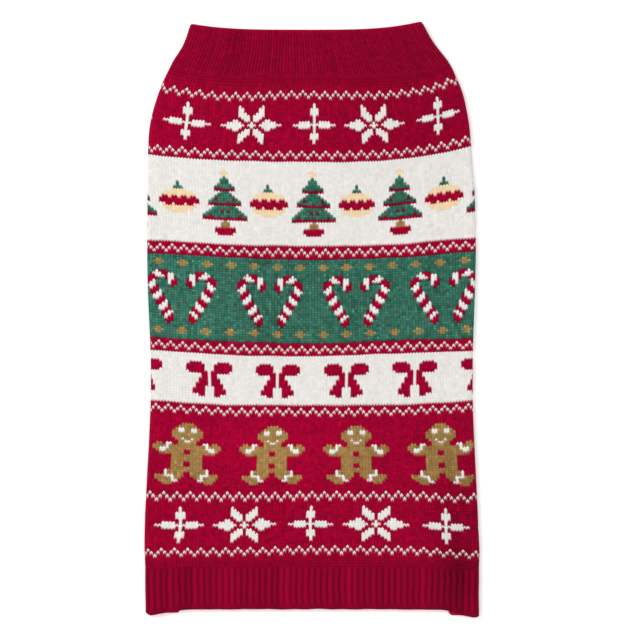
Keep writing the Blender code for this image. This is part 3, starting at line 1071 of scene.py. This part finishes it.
JERSEY = Knit(tree=knit_tree("jersey_knitting", JERSEY_PROFILE),
              yarn=acrylic_yarn("acrylic_jersey_knit", painted_groove_shade=1.0),
              relief=0.4, slant=0.6, dip=0.95, uneven=0.12,
              tight=0.0, stitch_spread=0.10, wale_spread=0.02)
# The ribs' colour is darkened all over by painted shade of their deep grooves, the wide ribs most
FINE_RIB = Knit(tree=knit_tree("fine_rib_knitting", FINE_RIB_PROFILE),
                yarn=acrylic_yarn("acrylic_rib_knit", painted_groove_shade=0.5),
                relief=0.75, slant=0.5, dip=0.3, uneven=0.12,
                tight=0.44, stitch_spread=0.10, wale_spread=0.07)
WIDE_RIB = FINE_RIB._replace(tree=knit_tree("wide_rib_knitting", WIDE_RIB_PROFILE),
                             dip=0.12, uneven=0.03, tight=0.68, stitch_spread=0.02,
                             wale_spread=0.11)

# The panels are knitted in stretches of courses, so that none is too large
Stretch = namedtuple("Stretch", "name first last")
BACK_STRETCHES = [Stretch("knit_back_upper", 0, 69), Stretch("knit_back_middle", 69, 134),
                  Stretch("knit_back_lower", 134, BODY_COURSES)]
BELLY_STRETCHES = [Stretch("knit_belly_upper", 0, 100),
                   Stretch("knit_belly_lower", 100, BODY_COURSES)]


def hand_over(piece, node, slot, flat=None, **more):
    """Closes the piece, hangs it under the root and hides the solid it is shown in place of. The
    material slot, the size it was knitted to and the further values are not used."""
    close_ends(piece.data)
    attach(piece, "root")
    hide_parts(node)


def flat_size(half, first, last):
    """Width and length of a panel between two courses; half gives its half width on a course."""
    courses = courses_at(COURSE_EDGES[first:last + 1])
    return float(2 * half(courses).mean()), float(COURSE_EDGES[first] - COURSE_EDGES[last])


def knit_panel(form, wales, first, last, charted=False):
    """Knits a stretch of the back or the belly, which may go on in the next piece."""
    neck = SEAM if first == 0 else WITHIN
    hem = SEAM if last == BODY_COURSES else WITHIN
    return knit_piece(form, JERSEY, wales, last - first, neck, hem, first, charted, seams=True)


def make_back():
    for name, first, last in BACK_STRETCHES:
        piece = knit_panel(back_form(name, first, last), BACK_WALES, first, last, charted=True)
        hand_over(piece, "back_panel", "patterned_knit", flat_size(back_half, first, last),
                  rests_on=["belly_panel"])


ON_OVAL = 1e-4  # a vertex is on the oval when its share of the way there is this near 1


def cut_leg_holes(mesh):
    """Cuts both leg holes through the belly: faces inside go, and the rim is drawn to the oval."""
    half_width = (LEG_HALF_WIDTH + CUFF_WIDTH + SEAM_GAP) * METRES
    half_length = (LEG_HALF_LENGTH + CUFF_WIDTH + SEAM_GAP) * METRES
    y = LEG_Y * METRES
    work = bmesh.new()
    work.from_mesh(mesh)
    for side in (-1, 1):
        x = side * LEG_X * METRES

        def share(vert):
            return math.hypot((vert.co.x - x) / half_width, (vert.co.y - y) / half_length)

        inside = {vert for vert in work.verts if share(vert) < 1}
        gone = [face for face in work.faces if inside.issuperset(face.verts)]
        bmesh.ops.delete(work, geom=gone, context="FACES")
        for vert in work.verts:
            far = share(vert)
            if far < 1:
                vert.co.x = x + (vert.co.x - x) / far
                vert.co.y = y + (vert.co.y - y) / far
        rim = [edge for edge in work.edges
               if edge.is_boundary and all(abs(share(vert) - 1) < ON_OVAL for vert in edge.verts)]
        bmesh.ops.bridge_loops(work, edges=rim)
    work.to_mesh(mesh)
    work.free()


def make_belly(leg_bands):
    for name, first, last in BELLY_STRETCHES:
        piece = knit_panel(belly_form(name, first, last), BELLY_WALES, first, last)
        width, length = flat_size(belly_half, first, last)
        area, bands = None, ()
        if first == 0:
            cut_leg_holes(piece.data)
            oval = math.pi * (LEG_HALF_WIDTH + CUFF_WIDTH) * (LEG_HALF_LENGTH + CUFF_WIDTH)
            area, bands = (width * length - 2 * oval) * METRES ** 2, leg_bands
        hand_over(piece, "belly_panel", "plain_knit", (width, length), area=area,
                  with_pieces=bands)


def make_band(name, node, knit, ribs, courses, start_y, end_y, length, neck, hem):
    """The collar or the hem: a ribbed tube."""
    count = 2 * (ribs.top + ribs.fold)
    form = band_form(name, ribs, count, courses, start_y, end_y)
    piece = knit_piece(form, knit, count, courses, neck, hem)
    centre = sum(edge_y(np.array(TOP), np.array(0.0)) for edge_y in (start_y, end_y)) / 2
    round_it = float(4 * flat_run(courses_at(np.array(centre))) + 2 * FOLD_TURN)
    hand_over(piece, node, "rib_knit", (round_it, length))


def make_cuffs():
    """Both leg bands."""
    made = []
    for word, side in (("left", -1), ("right", 1)):
        form = cuff_form(f"knit_leg_band_{word}", side)
        piece = knit_piece(form, FINE_RIB, CUFF_RIBS, CUFF_COURSES, RIB_SEAM, CUFF_EDGE)
        hand_over(piece, f"leg_cuff_{word}", "rib_knit")
        made.append(piece)
    return made


# ---- studio

PHOTO_SIZE = 634  # pixels, both ways
PIXEL = 0.72  # millimetres of the sweater in one pixel
PHOTO_CENTRE = (312.0, 319.5)  # the pixel where the origin lies
CAMERA_HEIGHT = 3.0  # metres: a long lens, nearly without perspective


def make_camera():
    camera = bpy.data.cameras.new("camera")
    camera.sensor_width = 36.0
    camera.lens = camera.sensor_width * CAMERA_HEIGHT / (PHOTO_SIZE * PIXEL * METRES)
    camera.clip_end = 10.0
    holder = put_in_scene("camera", camera)
    middle = PHOTO_SIZE / 2
    holder.location = ((middle - PHOTO_CENTRE[0]) * PIXEL * METRES,
                       (PHOTO_CENTRE[1] - middle) * PIXEL * METRES, CAMERA_HEIGHT)
    bpy.context.scene.camera = holder


def make_light(name, place, size, power):
    light = bpy.data.lights.new(name, "AREA")
    light.size = size
    light.energy = power
    holder = put_in_scene(name, light)
    holder.location = place
    turned = -holder.location.normalized()
    holder.rotation_euler = turned.to_track_quat("-Z", "Y").to_euler()


def make_studio():
    scene = bpy.context.scene
    scene.view_settings.view_transform = "Standard"
    world = bpy.data.worlds.new("studio")
    scene.world = world
    world.use_nodes = True
    background = world.node_tree.nodes["Background"]
    background.inputs["Color"].default_value = (1.0, 1.0, 1.0, 1.0)
    background.inputs["Strength"].default_value = 0.88
    make_light("key", (-1.3, 0.9, 1.7), 1.2, 24.0)
    make_light("fill", (1.3, -0.6, 2.0), 1.6, 6.0)
    mesh = bpy.data.meshes.new("table")
    reach, below = 3.0, -0.0003
    corners = [(x * reach, y * reach, below) for x, y in ((-1, -1), (1, -1), (1, 1), (-1, 1))]
    mesh.from_pydata(corners, [], [(0, 1, 2, 3)])
    # White backdrop paper lit from below too, so that the shadows round the cloth stay faint
    mesh.materials.append(new_material("white_paper", {
        "Base Color": (0.95, 0.95, 0.95, 1.0), "Roughness": 0.9, "Specular IOR Level": 0.2,
        "Emission Color": (1.0, 1.0, 1.0, 1.0), "Emission Strength": 0.14}))
    put_in_scene("table", mesh)


make_camera()
make_back()
make_belly(make_cuffs())
make_band("knit_collar", "collar_rib", FINE_RIB, COLLAR_RIBS, COLLAR_COURSES,
          rim_y, level(COLLAR_SEAM_Y), RIM_Y - COLLAR_SEAM_Y, neck=RIM, hem=RIB_SEAM)
make_band("knit_hem", "hem_rib", WIDE_RIB, HEM_RIBS, HEM_COURSES,
          level(HEM_SEAM_Y), hem_y, HEM_SEAM_Y - HEM_Y, neck=RIB_SEAM, hem=HEM_EDGE)
make_studio()
